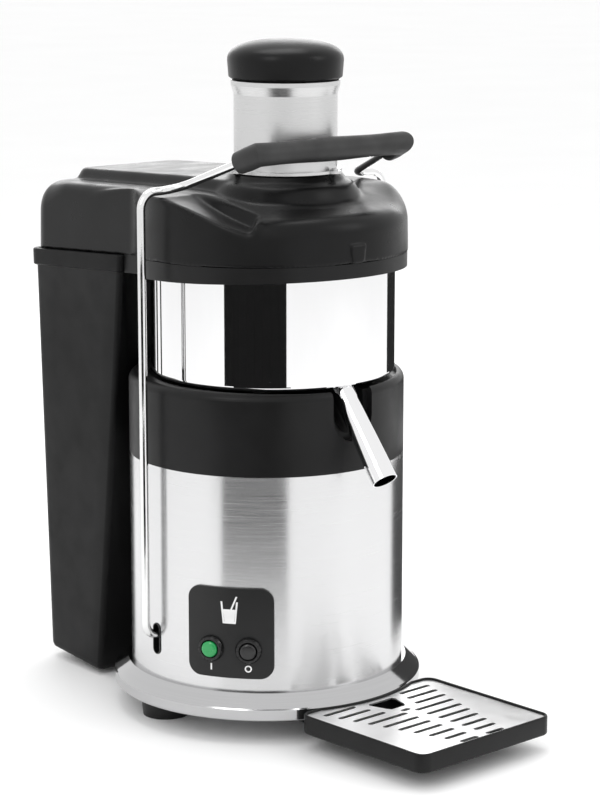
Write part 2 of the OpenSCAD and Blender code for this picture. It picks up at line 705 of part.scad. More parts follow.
// ---- Spindle ----
module motor_shaft() color("silver") at_spindle() difference() {
  rod_z(shaft_r, z_lower_shield - 34, z_nut + 9);
  translate([0, 0, z_lower_shield - 35]) cylinder(h = 6, r = 2);
}
module rotor_core() color("slategray") at_spindle() {
  tube(stator_bore_r - 0.6, shaft_r + seat_gap, z_core, z_core_top);
  for (z = [z_core - 8, z_core_top]) tube(stator_bore_r - 6, shaft_r + 8, z, z + 8);
}
module cooling_fan() color("black") at_spindle() difference() {
  union() {
    rod_z(62, z_lower_shield - 13, z_lower_shield - 11);
    rod_z(14, z_lower_shield - 26, z_lower_shield - 11);
    around([0:30:330]) translate([16, -1, z_lower_shield - 27]) cube([45, 2, 15]);
  }
  rod_z(shaft_r + seat_gap, z_lower_shield - 40, z_lower_shield);
}
module drive_hub() color("gray") at_spindle() difference() {
  rod_z(chimney_r + 5, z_bowl_floor + 8, z_basket);
  rod_z(chimney_r + 2, z_bowl_floor + 7, z_bowl_floor + chimney_h + 3);
  rod_z(shaft_r + seat_gap, z_bowl_floor, z_basket + 1);
}
module filter_basket() color("silver") at_spindle() difference() {
  r0 = basket_floor_d / 2;
  r1 = basket_d / 2;
  rotate_extrude() polygon([[shaft_r + seat_gap, z_basket], [r0, z_basket],
    [r1, z_basket + basket_h - 3], [r1 + 2, z_basket + basket_h - 3], [r1 + 2, z_basket + basket_h],
    [r1 - 1.5, z_basket + basket_h], [r0 - 1.5, z_basket + basket_floor_t],
    [shaft_r + seat_gap, z_basket + basket_floor_t]]);
  for (row = [0:1]) let (z = 18 + 20 * row, r = r0 + (r1 - r0) * z / basket_h)
    around([row * 7.5:15:row * 7.5 + 345]) translate([r - 8, 0, z_basket + z])
      rotate([0, 90, 0]) cylinder(h = 16, r = 3);
}
module grating_disc() color("silver") at_spindle() difference() {
  union() {
    rod_z(basket_floor_d / 2 - 3, z_grating, z_grating + grating_t);
    for (row = [0:3]) around([9 * row:30:330 + 9 * row]) translate([24 + 14 * row, 0, 0])
      translate([-3, -1, z_grating + grating_t - 0.5]) cube([6, 2, 3]);
  }
  rod_z(shaft_r + seat_gap, z_grating - 1, z_grating + 10);
}
module lock_nut() color("silver") at_spindle() difference() {
  union() {
    hex(16, z_nut, z_nut + 9);
    rod_z(12, z_nut + 9, z_nut + 13);
  }
  rod_z(shaft_r + seat_gap, z_nut - 1, z_nut + 9.5);
}

// ---- Bail ----
module bar(from, to, r) {
  d = to - from;
  len = norm(d);
  translate(from) rotate([0, acos(d[2] / len), atan2(d[1], d[0])]) cylinder(h = len, r = r);
}
// Right half of the bent rod, at radius r
module half_rod(r) {
  kink = [arm_x, 0, rod_top_z];
  corner = grip_corner;
  bar([yoke_x + 1, 0, pivot_z], [leg_x - bend_low_r, 0, pivot_z], r);
  translate([leg_x - bend_low_r, 0, pivot_z + bend_low_r]) rotate([90, 0, 0])
    rotate([0, 0, -90]) rotate_extrude(angle = 90) translate([bend_low_r, 0]) circle(r);
  bar([leg_x, 0, pivot_z + bend_low_r], [leg_x, 0, rod_top_z - bend_top_r], r);
  translate([leg_x - bend_top_r, 0, rod_top_z - bend_top_r]) rotate([90, 0, 0])
    rotate_extrude(angle = 90) translate([bend_top_r, 0]) circle(r);
  bar(kink, [leg_x - bend_top_r, 0, rod_top_z], r);
  translate(kink) sphere(r + 0.1);
  bar(kink, corner, r);
  translate(corner) sphere(r + 0.1);
}
module cross_bar(r) bar([-grip_half, -grip_reach, rod_top_z + grip_rise],
  [grip_half, -grip_reach, rod_top_z + grip_rise], r);
module bail_rod() color("silver") {
  both_sides() half_rod(rod_r);
  cross_bar(rod_r);
}
// The grip covers the cross bar and the ends of both arms
module bail_grip() color("black") difference() {
  union() {
    cross_bar(grip_d / 2);
    both_sides() {
      translate(grip_corner) sphere(grip_d / 2 + 0.1);
      bar(grip_corner, grip_corner + grip_arm * 0.2, grip_d / 2);
    }
  }
  cross_bar(rod_r + seat_gap);
  both_sides() {
    translate(grip_corner) sphere(rod_r + 0.1 + seat_gap);
    bar(grip_corner, grip_corner + grip_arm * 0.3, rod_r + seat_gap);
  }
}
module bail_yokes() color("dimgray") both_sides() difference() {
  translate([yoke_x, -9, pivot_z - yoke_half_h]) cube([16, 33, 2 * yoke_half_h]);
  translate([yoke_x - 1, 0, pivot_z]) rotate([0, 90, 0]) cylinder(h = 20, r = rod_r + pin_gap);
  translate([guide_x, guide_y, 0]) rod_z(guide_r + pin_gap, 0, z_housing);
}
module bail_springs() color("silver") both_sides() translate([guide_x, guide_y, 0])
  coil(5.4, 1, pivot_z + yoke_half_h, spring_top_z, 5);

// ---- Pusher ----
module pusher_cap() color("black") at_chute() rotate_extrude() {
  z0 = z_chute_top + 0.4;
  polygon(concat([[0, z0], [cap_d / 2 - 4, z0], [cap_d / 2 - 2.6, z0 + 1.5],
    [cap_d / 2, z0 + cap_h]], arc(cap_d / 2 - 5, z0 + cap_h, 5, 0, 60),
    [[0, z0 + cap_h + 9]]));
}
module pusher_body() color("dimgray") at_chute() difference() {
  rod_z(chute_r - chute_t - pusher_gap, z_nut + 17, z_chute_top + 0.4);
  rod_z(chute_r - chute_t - pusher_gap - 3, z_nut + 21, z_chute_top + 1);
}

// ---- Pulp bin ----
module bin_slab(w, y0, y1, z, inset) for (s = [-1, 1]) {
  translate([s * (w / 2 - 14), y1 - 14, z]) cylinder(h = 0.5, r = 14 - inset, $fn = 32);
  translate([s * (w / 2 - 5), y0 + 5, z]) cylinder(h = 0.5, r = 5 - inset, $fn = 32);
}
module bin_form(inset) hull() {
  bin_slab(bin_w, bin_high_front, bin_back, z_seam + 10, inset);
  bin_slab(bin_floor_w, bin_low_front, bin_back - 1, 0, inset);
}
module above_bin_floor(d) side_slab([[0, bin_floor_z(0) + d], [400, bin_floor_z(400) + d],
  [400, 900], [0, 900]], 200);
// Inward lips along both side walls, just under the rim
module bin_lips() both_sides() translate([rim_half - bin_t - lip_in / 2 + 0.5, 0, 0])
  along_seam(bin_high_front + 30, bin_back - 14, rim_gap, rim_gap + lip_t, lip_in / 2);
// Openings in the hollow front wall that the rails pass through
module rail_notches() both_sides() translate([rail_x, 0, 0]) intersection() {
  along_seam(60, bin_back - 60, 0, rail_top + rail_h + 1, rail_w / 2 + 0.8);
  translate([-rail_x, 0, 0]) rod_z(bin_front_r + bin_t + 1.5, z_bowl, z_seam + 20);
}
module pulp_bin() color("black") difference() {
  union() {
    difference() {
      intersection() {
        union() {
          bin_form(0);
          intersection() {
            bin_form(-band_out);
            above_seam(-rim_gap - band_h);
          }
        }
        below_seam(-rim_gap);
        above_bin_floor(0);
      }
      difference() {
        intersection() {
          bin_form(bin_t);
          above_bin_floor(bin_t);
        }
        rod_z(bin_front_r + bin_t, -10, z_seam + 20);
      }
    }
    bin_lips();
  }
  rod_z(bin_front_r, -10, z_seam + 20);
  rail_notches();
}

// ---- Drip tray ----
module tray_plan(inset, z0, z1) rotate([0, 0, tray_turn]) difference() {
  translate([0, -(tray_front + tray_back) / 2, z0]) linear_extrude(z1 - z0)
    rounded_box(tray_w - 2 * inset, tray_front - tray_back - 2 * inset, tray_corner - inset);
  rod_z(tray_edge_r + inset, z0 - 1, z1 + 1);
}
module drip_tray() color("black") difference() {
  union() {
    tray_plan(0, z_tray, z_rim);
    rotate([0, 0, tray_turn]) both_sides()
      translate([tongue_x - tongue_w / 2, -tray_edge_r - 1, z_tray])
        cube([tongue_w, 36, tongue_t]);
  }
  tray_plan(tray_t, z_rim - rim_lip - grille_t, z_rim + 1);
  tray_plan(tray_t + 3, z_tray + 2, z_rim + 1);
}
module grille_slot(x0, x1, y) translate([(x0 + x1) / 2, -y, z_rim - 10]) linear_extrude(20)
  rotate(90) slot_2d(grille_slot_w, x1 - x0);
module tray_grille() color("silver") difference() {
  tray_plan(tray_t + 0.3, z_rim - rim_lip - grille_t, z_rim - rim_lip);
  rotate([0, 0, tray_turn]) {
    for (i = [0:slot_rows - 1]) both_sides()
      grille_slot(i < hole_rows ? 28 - 4.5 * i : slot_inner, slot_outer - slot_outer_step * i,
        tray_back + slot_first + slot_pitch * i);
    grille_slot(-5.2, 5.2, tray_back + slot_first + slot_pitch * 2.5);
    translate([0, -tray_back - slot_first - 3, z_rim - 10]) linear_extrude(20)
      polygon([[-14, 0], [14, 0], [16, -3], [11, -20], [8.5, -24], [-8.5, -24], [-11, -20],
        [-16, -3]]);
  }
}

base_plate();
air_grille();
feet();
foot_screws();
bin_rails();
tray_clips();
body_sleeve();
slot_liners();
top_housing();
motor_plate();
rubber_mounts();
mount_screws();
motor_frame();
stator_core();
stator_windings();
upper_end_shield();
lower_end_shield();
upper_bearing();
lower_bearing();
run_capacitor();
brake_board();
terminal_block();
interlock_switch();
bail_brackets();
guide_pins();
cable_gland();
control_panel();
panel_icons();
start_bezel();
stop_bezel();
contact_blocks();
button_springs();
start_button();
stop_button();
shaft_seal();
bowl_rests();
juice_bowl();
juice_spout();
bowl_collar();
lid_gasket();
lid();
feed_chute();
chute_ring();
chute_screws();
motor_shaft();
rotor_core();
cooling_fan();
drive_hub();
filter_basket();
grating_disc();
lock_nut();
bail_yokes();
bail_springs();
bail_rod();
bail_grip();
pusher_cap();
pusher_body();
pulp_bin();
drip_tray();
tray_grille();
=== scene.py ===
# Centrifugal juicer: the looks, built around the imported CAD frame. Units are metres.
import json
import math

import bmesh
import bpy
import numpy as np
from mathutils import Matrix, Vector


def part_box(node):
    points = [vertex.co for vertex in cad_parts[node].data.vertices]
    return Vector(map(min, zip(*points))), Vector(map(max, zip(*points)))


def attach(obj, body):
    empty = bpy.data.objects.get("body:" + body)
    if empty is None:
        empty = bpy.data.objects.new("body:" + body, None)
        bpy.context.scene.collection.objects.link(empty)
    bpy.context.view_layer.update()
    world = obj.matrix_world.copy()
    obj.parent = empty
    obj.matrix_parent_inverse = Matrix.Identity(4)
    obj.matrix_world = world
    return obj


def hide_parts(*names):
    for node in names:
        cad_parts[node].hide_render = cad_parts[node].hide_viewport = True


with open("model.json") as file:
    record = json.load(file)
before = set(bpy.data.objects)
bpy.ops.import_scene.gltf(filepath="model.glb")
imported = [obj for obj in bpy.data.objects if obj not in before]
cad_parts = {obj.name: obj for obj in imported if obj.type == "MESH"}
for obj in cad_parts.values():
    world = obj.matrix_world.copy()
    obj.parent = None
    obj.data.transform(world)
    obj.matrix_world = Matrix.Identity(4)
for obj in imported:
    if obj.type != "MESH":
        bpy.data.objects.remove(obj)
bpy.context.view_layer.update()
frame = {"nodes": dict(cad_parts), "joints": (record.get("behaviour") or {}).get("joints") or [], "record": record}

MM = 0.001


# ---------------------------------------------------------------- places taken from the frame
def box_mm(node):
    low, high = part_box(node)
    return Vector(low) / MM, Vector(high) / MM


def centre_y(node):
    low, high = box_mm(node)
    return (low.y + high.y) / 2


def radius_of(node):
    low, high = box_mm(node)
    return (high.x - low.x) / 2


CHUTE_WALL_AND_GAP = 2.6
PAD_HEIGHT = 17
LID_HEIGHT = 58
BODY_R = radius_of("body_sleeve")
FLANGE_R = radius_of("base_plate")
LID_R = radius_of("lid")
SPINDLE_Y = centre_y("juice_bowl")
CHUTE_Y = centre_y("pusher_cap")
CHUTE_R = radius_of("pusher_body") + CHUTE_WALL_AND_GAP
CAP_R = radius_of("pusher_cap")
Z_RING = box_mm("chute_ring")[0].z
Z_CHUTE_TOP = box_mm("feed_chute")[1].z
Z_CAP_TOP = box_mm("pusher_cap")[1].z
HOOD_BACK = box_mm("lid")[1].y
Z_DECK = Z_RING - PAD_HEIGHT
Z_SEAM = Z_DECK - LID_HEIGHT
BACK_SLOPE = math.tan(math.radians(3.76))
FRONT_SLOPE = math.tan(math.radians(1.15))


def seam_z(y):
    return Z_SEAM - y * (BACK_SLOPE if y > 0 else FRONT_SLOPE)


# ---------------------------------------------------------------- mesh helpers
def add_object(name, verts, faces, smooth_angle=None):
    mesh = bpy.data.meshes.new(name)
    mesh.from_pydata([Vector(v) * MM for v in verts], [], faces)
    return finish_object(name, mesh, smooth_angle)


def finish_object(name, mesh, smooth_angle=None):
    mesh.validate()
    work = bmesh.new()
    work.from_mesh(mesh)
    bmesh.ops.recalc_face_normals(work, faces=work.faces)
    work.to_mesh(mesh)
    work.free()
    obj = bpy.data.objects.new(name, mesh)
    bpy.context.collection.objects.link(obj)
    mesh.shade_smooth()
    if smooth_angle is not None:
        mesh.set_sharp_from_angle(angle=math.radians(smooth_angle))
    return obj


def rounded_2d(points, closed=True):
    """Corner points (a, b, radius) of an outline, with an arc at each corner that has a radius."""
    out = []
    n = len(points)
    for i, (a, b, radius) in enumerate(points):
        here = Vector((a, b))
        if radius <= 0 or (not closed and i in (0, n - 1)):
            out.append((a, b))
            continue
        before = Vector(points[i - 1][:2]) - here
        after = Vector(points[(i + 1) % n][:2]) - here
        angle = before.angle(after)
        if angle > math.radians(179):
            out.append((a, b))
            continue
        cut = min(radius / math.tan(angle / 2), before.length * 0.49, after.length * 0.49)
        r = cut * math.tan(angle / 2)
        bisector = (before.normalized() + after.normalized()).normalized()
        middle = here + bisector * (r / math.sin(angle / 2))
        p0 = here + before.normalized() * cut
        p1 = here + after.normalized() * cut
        v0, v1 = p0 - middle, p1 - middle
        turn = v0.angle_signed(v1)
        steps = max(2, int(abs(math.degrees(turn)) / 9))
        for k in range(steps + 1):
            t = -turn * k / steps
            out.append((middle.x + v0.x * math.cos(t) - v0.y * math.sin(t),
                        middle.y + v0.x * math.sin(t) + v0.y * math.cos(t)))
    return out


def lathe(name, profile, y=0.0, segments=192, smooth_angle=32):
    """Turns a closed profile of (radius, height, corner radius) points about a vertical axis."""
    outline = rounded_2d(profile)
    verts, faces = [], []
    n = len(outline)
    for s in range(segments):
        a = 2 * math.pi * s / segments
        for r, z in outline:
            verts.append((r * math.sin(a), y - r * math.cos(a), z))
    for s in range(segments):
        t = (s + 1) % segments
        for k in range(n):
            m = (k + 1) % n
            faces.append((s * n + k, s * n + m, t * n + m, t * n + k))
    obj = add_object(name, verts, faces)
    work = bmesh.new()
    work.from_mesh(obj.data)
    bmesh.ops.remove_doubles(work, verts=work.verts, dist=1e-6)
    bmesh.ops.dissolve_degenerate(work, dist=1e-6, edges=work.edges)
    bmesh.ops.recalc_face_normals(work, faces=work.faces)
    work.to_mesh(obj.data)
    work.free()
    obj.data.shade_smooth()
    obj.data.set_sharp_from_angle(angle=math.radians(smooth_angle))
    return obj


def rounded_path(points, radii, steps=10):
    """A polyline in space with an arc of the given radius at each inner corner."""
    out = [Vector(points[0])]
    for i in range(1, len(points) - 1):
        here = Vector(points[i])
        before = (Vector(points[i - 1]) - here)
        after = (Vector(points[i + 1]) - here)
        angle = before.angle(after)
        cut = radii[i - 1] / math.tan(angle / 2)
        p0 = here + before.normalized() * cut
        p1 = here + after.normalized() * cut
        middle = here + (before.normalized() + after.normalized()).normalized() * (
            radii[i - 1] / math.sin(angle / 2))
        axis = (p0 - middle).cross(p1 - middle).normalized()
        turn = (p0 - middle).angle(p1 - middle)
        for k in range(steps + 1):
            out.append(middle + Matrix.Rotation(turn * k / steps, 3, axis) @ (p0 - middle))
    out.append(Vector(points[-1]))
    return out


def widened(offset, before, after):
    """How far a mitred ring reaches out past a square one, so that a bar keeps its width round a bend."""
    across = after - before
    if across.length < 1e-4:
        return offset * 0
    across.normalize()
    return across * offset.dot(across) * (1 / math.cos(before.angle(after) / 2) - 1)


def sweep(name, path, radius, sides=28, close_ends=True):
    """A round bar along a path; radius is one number or one per point."""
    path = [Vector(p) for p in path]
    n = len(path)
    radii = radius if isinstance(radius, (list, tuple)) else [radius] * n
    ways = [(b - a).normalized() for a, b in zip(path, path[1:])]
    ways = [ways[0]] + ways + [ways[-1]]
    tangents = [(ways[i] + ways[i + 1]).normalized() for i in range(n)]
    side = tangents[0].orthogonal().normalized()
    verts, faces = [], []
    for i, p in enumerate(path):
        side = (side - tangents[i] * side.dot(tangents[i])).normalized()
        other = tangents[i].cross(side)
        for k in range(sides):
            a = 2 * math.pi * k / sides
            offset = (side * math.cos(a) + other * math.sin(a)) * radii[i]
            verts.append(p + offset + widened(offset, ways[i], ways[i + 1]))
    for i in range(n - 1):
        for k in range(sides):
            m = (k + 1) % sides
            faces.append((i * sides + k, i * sides + m, (i + 1) * sides + m, (i + 1) * sides + k))
    if close_ends:
        faces.append(tuple(range(sides - 1, -1, -1)))
        faces.append(tuple(range((n - 1) * sides, n * sides)))
    return add_object(name, verts, faces, 40)


def cut(obj, cutters):
    """Subtracts closed meshes from a piece and applies the result."""
    for tool in cutters:
        step = obj.modifiers.new("cut", "BOOLEAN")
        step.operation = "DIFFERENCE"
        step.solver = "EXACT"
        step.object = tool
        bpy.context.view_layer.update()
        done = bpy.data.meshes.new_from_object(
            obj.evaluated_get(bpy.context.evaluated_depsgraph_get()))
        obj.modifiers.clear()
        obj.data = done
        bpy.data.objects.remove(tool)
    return obj


def smooth_min(a, b, k):
    h = np.clip(0.5 + 0.5 * (b - a) / k, 0, 1)
    return b * (1 - h) + a * h - k * h * (1 - h)


def smooth_max(a, b, k):
    return -smooth_min(-a, -b, k)


def ramp(start, end, value):
    t = np.clip((value - start) / (end - start), 0, 1)
    return t * t * (3 - 2 * t)


def net_points(field):
    """One point in each cell that the surface crosses, and the number of each such cell's point."""
    shape = np.array(field.shape)
    count = np.zeros(tuple(shape - 1), np.int16)
    total = np.zeros(tuple(shape - 1) + (3,), np.float32)
    for axis in range(3):
        others = [k for k in range(3) if k != axis]
        for u in (0, 1):
            for v in (0, 1):
                start = [0, 0, 0]
                start[others[0]], start[others[1]] = u, v
                end = list(start)
                end[axis] = 1
                fa = field[tuple(slice(o, n - 1 + o) for o, n in zip(start, shape))]
                fb = field[tuple(slice(o, n - 1 + o) for o, n in zip(end, shape))]
                crossed = (fa < 0) != (fb < 0)
                count += crossed
                total[..., axis] += np.where(crossed, fa / np.where(crossed, fa - fb, 1), 0)
                total[..., others[0]] += crossed * u
                total[..., others[1]] += crossed * v
    active = count > 0
    index = -np.ones(count.shape, np.int64)
    index[active] = np.arange(active.sum())
    return np.argwhere(active) + total[active] / count[active][:, None], index


def net_quads(field, index):
    """A quad round each grid edge that crosses the surface."""
    shape = field.shape
    quads = []
    for axis in range(3):
        u, v = [k for k in range(3) if k != axis]
        at = [slice(1, n - 1) for n in shape]
        at[axis] = slice(0, shape[axis] - 1)
        to = list(at)
        to[axis] = slice(1, shape[axis])
        fa, fb = field[tuple(at)], field[tuple(to)]
        for sign in (1, -1):
            edges = np.argwhere((fa * sign < 0) & (fb * sign >= 0))
            edges = edges + np.array([0 if k == axis else 1 for k in range(3)])
            ring = []
            for du, dv in ((-1, -1), (0, -1), (0, 0), (-1, 0)):
                c = edges.copy()
                c[:, u] += du
                c[:, v] += dv
                ring.append(index[c[:, 0], c[:, 1], c[:, 2]])
            quads.append(np.stack(ring if (sign > 0) == (axis != 1) else ring[::-1], 1))
    return np.concatenate(quads)


def surface_net(name, field, low, cell):
    """The zero surface of a sampled distance field, as quads with one vertex in each crossed cell."""
    points, index = net_points(field)
    verts = points * cell + np.array(low)
    mesh = bpy.data.meshes.new(name)
    mesh.from_pydata((verts * MM).tolist(), [], net_quads(field, index).tolist())
    return finish_object(name, mesh)


# ---------------------------------------------------------------- materials
class Finish:
    """One material: a Principled shader, and short ways to add colour, roughness and bump from noise."""

    def __init__(self, name, color, roughness, metallic=0.0, **sockets):
        self.material = bpy.data.materials.new(name)
        self.material.use_nodes = True
        self.tree = self.material.node_tree
        self.shader = self.tree.nodes["Principled BSDF"]
        self.shader.inputs["Base Color"].default_value = (*color, 1)
        self.shader.inputs["Roughness"].default_value = roughness
        self.shader.inputs["Metallic"].default_value = metallic
        for socket, value in sockets.items():
            self.shader.inputs[socket.replace("_", " ")].default_value = value
        self.where = self.add("TexCoord").outputs["Object"]

    def add(self, kind, inputs=None, **settings):
        made = self.tree.nodes.new("ShaderNode" + kind)
        for key, value in settings.items():
            setattr(made, key, value)
        for key, value in (inputs or {}).items():
            if isinstance(value, bpy.types.NodeSocket):
                self.tree.links.new(value, made.inputs[key])
            else:
                made.inputs[key].default_value = value
        return made

    def noise(self, scale, detail=3.0, stretch=(1, 1, 1), rough=0.5):
        spot = self.add("Mapping", {"Vector": self.where, "Scale": stretch}).outputs[0]
        return self.add("TexNoise", {"Vector": spot, "Scale": scale, "Detail": detail,
                                     "Roughness": rough}).outputs[0]

    def between(self, value, low, high, start=0.3, end=0.7):
        return self.add("MapRange", {"Value": value, "From Min": start, "From Max": end,
                                     "To Min": low, "To Max": high}).outputs[0]

    def color(self, value, dark, light, start=0.3, end=0.7):
        mix = self.add("Mix", {"Factor": self.between(value, 0, 1, start, end)}, data_type="RGBA")
        mix.inputs[6].default_value = (*dark, 1)
        mix.inputs[7].default_value = (*light, 1)
        self.tree.links.new(mix.outputs[2], self.shader.inputs["Base Color"])
        return self

    def roughness(self, value, low, high):
        self.tree.links.new(self.between(value, low, high), self.shader.inputs["Roughness"])
        return self

    def bump(self, value, depth, strength=1.0):
        made = self.add("Bump", {"Height": value, "Distance": depth, "Strength": strength})
        self.tree.links.new(made.outputs[0], self.shader.inputs["Normal"])
        return self


def black_plastic(name, dark=0.006, light=0.011, rough=(0.30, 0.42), grain=2600, depth=0.00003,
                  specular=0.30):
    """A moulded plastic with a fine grain and slow changes of sheen."""
    made = Finish(name, (dark,) * 3, rough[0], Specular_IOR_Level=specular)
    slow = made.noise(14, 4)
    made.color(slow, (dark, dark, dark), (light, light, light * 1.04))
    made.roughness(made.noise(38, 5), *rough)
    made.bump(made.noise(grain, 2), depth)
    return made.material


def soft_rubber(name, shade=0.012):
    made = Finish(name, (shade,) * 3, 0.5, Specular_IOR_Level=0.28)
    made.color(made.noise(30, 5), (shade * 0.7,) * 3, (shade * 1.35,) * 3)
    made.roughness(made.noise(90, 4), 0.40, 0.55)
    made.bump(made.noise(1800, 3), 0.00006)
    return made.material


def ring_brushed_steel(name, color=(0.78, 0.78, 0.785), rough=(0.16, 0.26), depth=0.00002, across=0.75,
                       streak=0.08):
    """Steel brushed round an upright axis: the light smears up and down, and stays crisp round the body."""
    made = Finish(name, color, rough[0], 1.0, Anisotropic=across, Anisotropic_Rotation=0.25)
    tangent = made.add("Tangent", direction_type="RADIAL", axis="Z")
    made.tree.links.new(tangent.outputs[0], made.shader.inputs["Tangent"])
    lines = made.noise(9, 3, (1, 1, 190), 0.6)
    fine = made.noise(26, 2, (1, 1, 260), 0.6)
    made.color(lines, tuple(c * (1 - streak) for c in color),
               tuple(min(1, c * (1 + streak / 2)) for c in color))
    made.roughness(lines, *rough)
    made.bump(fine, depth)
    return made.material


def plain_steel(name, color=(0.8, 0.8, 0.8), rough=(0.10, 0.18), depth=0.00001, grain=900,
                stretch=(1, 1, 1)):
    made = Finish(name, color, rough[0], 1.0)
    slow = made.noise(22, 4)
    made.color(slow, tuple(c * 0.94 for c in color), color)
    made.roughness(made.noise(60, 5, stretch), *rough)
    made.bump(made.noise(grain, 2, stretch), depth)
    return made.material


def moulded(name, color, rough=(0.3, 0.42), grain=1500, depth=0.00002, specular=0.4, coat=0.0):
    made = Finish(name, color, rough[0], Specular_IOR_Level=specular, Coat_Weight=coat)
    made.color(made.noise(40, 4), tuple(c * 0.85 for c in color), tuple(min(1, c * 1.1) for c in color))
    made.roughness(made.noise(70, 4), *rough)
    made.bump(made.noise(grain, 2), depth)
    return made.material


def stacked_sheets(name):
    """The edges of a pile of thin steel laminations."""
    made = Finish(name, (0.25, 0.26, 0.28), 0.5, 0.9)
    layers = made.noise(2, 1, (1, 1, 900), 0.5)
    made.color(layers, (0.16, 0.165, 0.18), (0.33, 0.34, 0.36))
    made.roughness(layers, 0.38, 0.6)
    made.bump(layers, 0.00015)
    return made.material


def wound_wire(name):
    made = Finish(name, (0.45, 0.17, 0.06), 0.32, 0.7)
    turns = made.noise(3, 1, (260, 260, 60), 0.5)
    made.color(turns, (0.27, 0.09, 0.03), (0.62, 0.26, 0.09))
    made.roughness(turns, 0.22, 0.42)
    made.bump(turns, 0.0003)
    return made.material


def make_materials():
    return {
        "flange_metal": ring_brushed_steel("polished_flange", (0.50, 0.50, 0.505), (0.06, 0.13),
                                           0.000002, 0.3, 0.03),
        "brushed_sleeve": ring_brushed_steel("brushed_sleeve", (0.68, 0.68, 0.685), (0.20, 0.28),
                                             0.00001, 0.75, 0.05),
        "mirror_bowl": ring_brushed_steel("mirror_bowl", (0.84, 0.84, 0.845), (0.025, 0.045),
                                          0.0000002, 0.2, 0.006),
        "satin_steel": ring_brushed_steel("satin_steel", (0.62, 0.62, 0.62), (0.26, 0.32), 0.000004,
                                          0.3, 0.015),
        "grille_steel": plain_steel("grille_steel", (0.90, 0.90, 0.90), (0.32, 0.42), 0.00002, 1400),
        "rod_steel": plain_steel("rod_steel", (0.82, 0.82, 0.82), (0.08, 0.16), 0.000006, 500),
        "black_shell": black_plastic("black_shell", 0.005, 0.009, specular=0.2),
        "black_lid": black_plastic("black_lid", 0.004, 0.007, (0.26, 0.38), 2200, specular=0.17),
        "black_bin": black_plastic("black_bin", 0.004, 0.007, (0.36, 0.50), 1800, 0.00005, 0.12),
        "black_gloss": black_plastic("black_gloss", 0.005, 0.009, (0.16, 0.28), 3000, 0.00001, 0.4),
        "grip_rubber": soft_rubber("grip_rubber", 0.026),
        "foot_rubber": soft_rubber("foot_rubber", 0.010),
        "panel_black": black_plastic("panel_black", 0.006, 0.010, (0.30, 0.40), 3000, 0.00001, 0.34),
        "panel_print": moulded("panel_print", (0.80, 0.80, 0.80)),
        "start_green": moulded("start_green", (0.010, 0.30, 0.075), (0.20, 0.32), 1500, 0.00001, 0.5, 0.3),
        "stop_black": black_plastic("stop_black", 0.008, 0.014, (0.18, 0.30), 2000, 0.00001, 0.5),
        "grey_metal": moulded("grey_paint", (0.30, 0.31, 0.32), (0.35, 0.5), 700, 0.00006),
        "cast_grey": plain_steel("cast_grey", (0.50, 0.50, 0.51), (0.42, 0.60), 0.00012, 420),
        "zinc": plain_steel("zinc", (0.60, 0.60, 0.60), (0.24, 0.38), 0.00002, 700),
        "laminations": stacked_sheets("laminations"),
        "copper": wound_wire("wound_copper"),
        "board_green": moulded("board_green", (0.015, 0.13, 0.06), (0.25, 0.4)),
        "ivory_plastic": moulded("ivory_plastic", (0.66, 0.63, 0.55)),
        "seal_rubber": soft_rubber("seal_rubber", 0.05),
        "red_plastic": moulded("red_plastic", (0.30, 0.02, 0.02)),
    }


MATERIALS = make_materials()


def place(obj, body, slot, *replaced, material=None):
    """Gives a piece its finish, its body and the CAD nodes that it stands for."""
    obj.data.materials.clear()
    obj.data.materials.append(MATERIALS[material or slot])
    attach(obj, body)
    if replaced:
        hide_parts(*replaced)
    return obj


def dress_cad_nodes():
    """Gives every CAD node the finish of its record slot."""
    special = {"tray_grille": "grille_steel"}
    for part in frame["record"]["subparts"]:
        finish = MATERIALS[special.get(part["node"], part["material_slot"])]
        for slot in frame["nodes"][part["node"]].material_slots:
            slot.material = finish


# ---------------------------------------------------------------- lid
LID_CELL = 1.5
LID_WALL = 3.0
HOOD_HALF = 98.0
HOOD_CORNER = 25.0
TIER_RISE = 10.0
TIER_X = (-59, 60)
TIER_MARGIN = 13
TIER_CORNER = 22
DECK_FALL = 0.046
WALL_TAPER = 0.02
LUG_H = 19
RIDGE_BACK = Vector((-84.0, -3.0))
RIDGE_FRONT = Vector((-73.0, -80.0))
SCOOP_TIP = Vector((-89.0, -96.0))
# Distance from the chute's axis, and drop below the ring's underside
PAD_PROFILE = ((50.5, 0), (52, 5), (56, 7.5), (60, 9), (63, 12), (65.5, 18), (68, 23), (73, 26), (80, 60))


def line_distance(x, y, start, end):
    """Signed distance in plan to the line from start to end: positive on its left."""
    along = (end - start).normalized()
    return along.x * (y - start.y) - along.y * (x - start.x)


def rounded_box_2d(x, y, x0, x1, y0, y1, radius):
    dx = np.abs(x - (x0 + x1) / 2) - (x1 - x0) / 2 + radius
    dy = np.abs(y - (y0 + y1) / 2) - (y1 - y0) / 2 + radius
    return np.hypot(np.maximum(dx, 0), np.maximum(dy, 0)) + np.minimum(np.maximum(dx, dy), 0) - radius


def scoop_region(x, y):
    inner = line_distance(x, y, RIDGE_FRONT, RIDGE_BACK)
    front = line_distance(x, y, SCOOP_TIP, RIDGE_FRONT)
    return np.maximum(-inner, -front), inner


def smoothed(values):
    """A grid of heights with each one averaged with its eight neighbours, twice over."""
    for _ in range(2):
        for axis in (0, 1):
            ends = [(1, 1) if k == axis else (0, 0) for k in range(2)]
            wide = np.moveaxis(np.pad(values, ends, mode="edge"), axis, 0)
            values = np.moveaxis((wide[:-2] + wide[1:-1] + wide[2:]) / 3, 0, axis)
    return values


